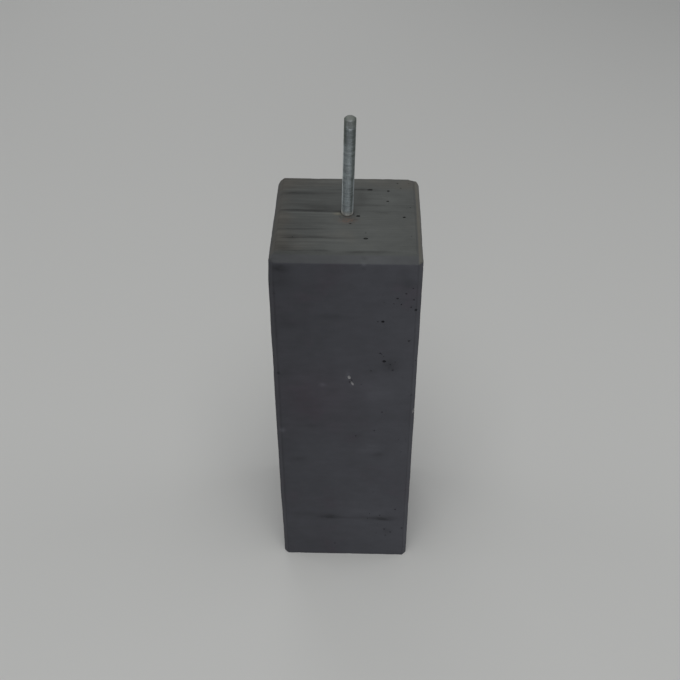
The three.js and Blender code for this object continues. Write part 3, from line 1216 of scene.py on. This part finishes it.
# The colour of the painted dark line of shade round the stud's foot.
FOOT_SHADE_COLOUR = (0.048, 0.042, 0.034, 1.0)
CRUST_COLOUR = (0.150, 0.132, 0.115, 1.0)
TIP = stud_high.z
TIP_BAND = (TIP - 46 * MM, TIP - 30 * MM)
CLOG_BAND = (TIP - 15 * MM, TIP - 11 * MM)
SAWN_BAND = (TIP - 1.2 * MM, TIP + 0.2 * MM)
LOW_BAND = (TOP + 62 * MM, TOP + 46 * MM)
LIME_BAND = (TOP + 7 * MM, TOP + 1 * MM)
FOOT_SHADE_BAND = (TOP + 0.3 * MM, TOP - 0.4 * MM)
CRUST_BAND = (TOP - 0.7 * MM, TOP - 1.2 * MM)
GROOVE_BAND = (CREST_RADIUS - 0.35 * MM, CREST_RADIUS - THREAD_DEPTH)
ON_RIGHT_BAND = (1.5 * MM, 6.0 * MM)
GLINT_BAND = (5.8 * MM, 7.2 * MM)
ON_LEFT_BAND = (-2.5 * MM, -7.5 * MM)
DULL_EDGE = (-0.1, 0.45)
RUST_EDGE = (0.34, 0.44)


def finish_zinc():
    material = bpy.data.materials.new("zinc_plated_steel")
    material.use_nodes = True
    tree = material.node_tree
    tree.nodes.clear()
    place = Wire(tree).node("ShaderNodeTexCoord", output="Object")
    z = place.axes().other("Z")
    settings = {"vector_type": "TEXTURE"}
    inputs = {"Vector": place, "Location": (0.0, STUD_SETBACK, TOP), "Rotation": (0.0, STUD_LEAN, 0.0)}
    upright = place.node("ShaderNodeMapping", settings, inputs)
    across = upright.axes()
    flat = upright.vectors("MULTIPLY", (1.0, 1.0, 0.0))
    groove = flat.node("ShaderNodeVectorMath", {"operation": "LENGTH"}, {0: flat}, 1).step(*GROOVE_BAND)
    blotches = cloud(place, scale=150.0, stretch=(1.0, 1.0, 0.5), detail=4.0)
    turns = cloud(place, scale=260.0, stretch=(0.12, 0.12, 1.0), detail=2.0)
    fine = cloud(place, scale=900.0)
    near_tip = z.step(*TIP_BAND)
    low = z.step(*LOW_BAND)
    dull = (blotches + fine * 0.8 + turns * 1.2 + groove * 0.35 + near_tip * 0.22).step(*DULL_EDGE)
    cement = (z + blotches * (12 * MM) + fine * (5 * MM)).step(*CLOG_BAND) * (0.9 + fine * 0.8)
    sawn = z.step(*SAWN_BAND)
    rust = (fine + blotches).step(*RUST_EDGE) * 0.3
    lime = (z + blotches * (8 * MM)).step(*LIME_BAND)
    # A painted dark line of shade round the stud's foot, where it meets the concrete.
    foot_shade = (z + fine * (1.5 * MM)).step(*FOOT_SHADE_BAND)
    crust = z.step(*CRUST_BAND)
    # Painted shade down both sides of the stud. Low down, a thin band at the right edge is kept out of it as
    # a painted highlight.
    on_right = across.step(*ON_RIGHT_BAND) * (1.0 - across.step(*GLINT_BAND) * low)
    side_shade = on_right * 0.62 + across.step(*ON_LEFT_BAND) * (0.32 + near_tip * 0.6)
    side_shade = (side_shade * (1.0 + turns * 0.8) * (1.0 - sawn * 0.5)).least(0.0).most(1.0)
    colour = dull.blend(ZINC_COLOUR, DULL_COLOUR).mixed(RUST_COLOUR, rust * 0.6)
    colour = colour.mixed(CEMENT_COLOUR, cement.most(1.0) * 0.7).mixed(SAWN_COLOUR, sawn * 0.9)
    colour = colour.mixed(SIDE_SHADE_COLOUR, side_shade).mixed(LIME_COLOUR, lime * 0.7)
    colour = colour.mixed(FOOT_SHADE_COLOUR, foot_shade * 0.85).mixed(CRUST_COLOUR, crust * 0.9)
    metallic = ((1.0 - cement * 0.5) * (1.0 - rust * 0.6) * (1.0 - sawn * 0.6)).least(0.0)
    metallic = metallic * 0.6 * (1.0 - foot_shade)
    roughness = 0.36 + dull * 0.14 + cement.most(1.0) * 0.22
    relief = {"Height": fine + blotches, "Strength": 0.3, "Distance": 0.1 * MM}
    bump = place.node("ShaderNodeBump", None, relief)
    inputs = {"Base Color": colour, "Roughness": roughness, "Metallic": metallic, "Normal": bump}
    shader = place.node("ShaderNodeBsdfPrincipled", None, inputs)
    place.node("ShaderNodeOutputMaterial", None, {"Surface": shader})
    return material


zinc = finish_zinc()
wear(stud, zinc)
print("zinc:", len(zinc.node_tree.nodes), "nodes")

# %% [markdown]
# ## Join the pieces to the construction model
# Each piece stands for one solid of the construction model, which it hides, and rides on its body.

# %% Hand the pieces over
for piece, node, slot in ((body, "concrete_block", "concrete"), (stud, "threaded_stud", "zinc_plated_steel")):
    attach(piece, "root")
    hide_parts(node)

# %% [markdown]
# ## Floor and light
# The block stands on a plain pale floor that runs on behind it. A large soft light hangs above and a
# little in front, so the head is the brightest face. Four weaker ones at the front, the back, the left
# and the right light the sides, and the rest comes evenly from all round.

# %% The floor
FLOOR_SIZE = 14.0
FLOOR_COLOUR = (0.63, 0.63, 0.62, 1.0)
FLOOR_ROUGHNESS = 0.9


def floor():
    work = bmesh.new()
    bmesh.ops.create_grid(work, x_segments=1, y_segments=1, size=FLOOR_SIZE / 2)
    mesh = bpy.data.meshes.new("floor")
    work.to_mesh(mesh)
    work.free()
    material = bpy.data.materials.new("pale_floor")
    material.use_nodes = True
    shader = material.node_tree.nodes["Principled BSDF"]
    shader.inputs["Base Color"].default_value = FLOOR_COLOUR
    shader.inputs["Roughness"].default_value = FLOOR_ROUGHNESS
    mesh.materials.append(material)
    made = new_object("floor", mesh)


floor()

# %% The lights
WORLD_COLOUR = (0.97, 0.99, 1.0, 1.0)
WORLD_STRENGTH = 0.25
# Each light's name, place, width, power and colour
LIGHTS = (
    ("key", (0.0, -0.8, 3.2), 1.8, 36.5, (1.0, 1.0, 0.98)),
    ("front_fill", (-0.1, -3.3, 1.7), 1.6, 12.0, (0.93, 0.95, 1.0)),
    ("back_fill", (-0.8, 3.0, 1.8), 1.8, 11.0, (1.0, 1.0, 1.0)),
    ("left_fill", (-2.7, 0.5, 1.3), 1.6, 7.0, (1.0, 1.0, 1.0)),
    ("right_fill", (2.7, 0.5, 1.3), 1.6, 9.0, (1.0, 1.0, 1.0)),
)


def light(name, place, size, power, colour):
    """A square soft light that points at the middle of the block."""
    data = bpy.data.lights.new(name, "AREA")
    data.size = size
    data.energy = power
    data.color = colour
    made = new_object(name, data)
    made.location = place
    aim = Vector((0, 0, TOP / 2)) - Vector(place)
    made.rotation_euler = aim.to_track_quat("-Z", "Y").to_euler()


for values in LIGHTS:
    light(*values)

world = bpy.data.worlds.new("soft_surround")
world.use_nodes = True
sky = world.node_tree.nodes["Background"].inputs
sky["Color"].default_value = WORLD_COLOUR
sky["Strength"].default_value = WORLD_STRENGTH
bpy.context.scene.world = world
bpy.context.scene.view_settings.view_transform = "Standard"
print("lights:", len(LIGHTS))
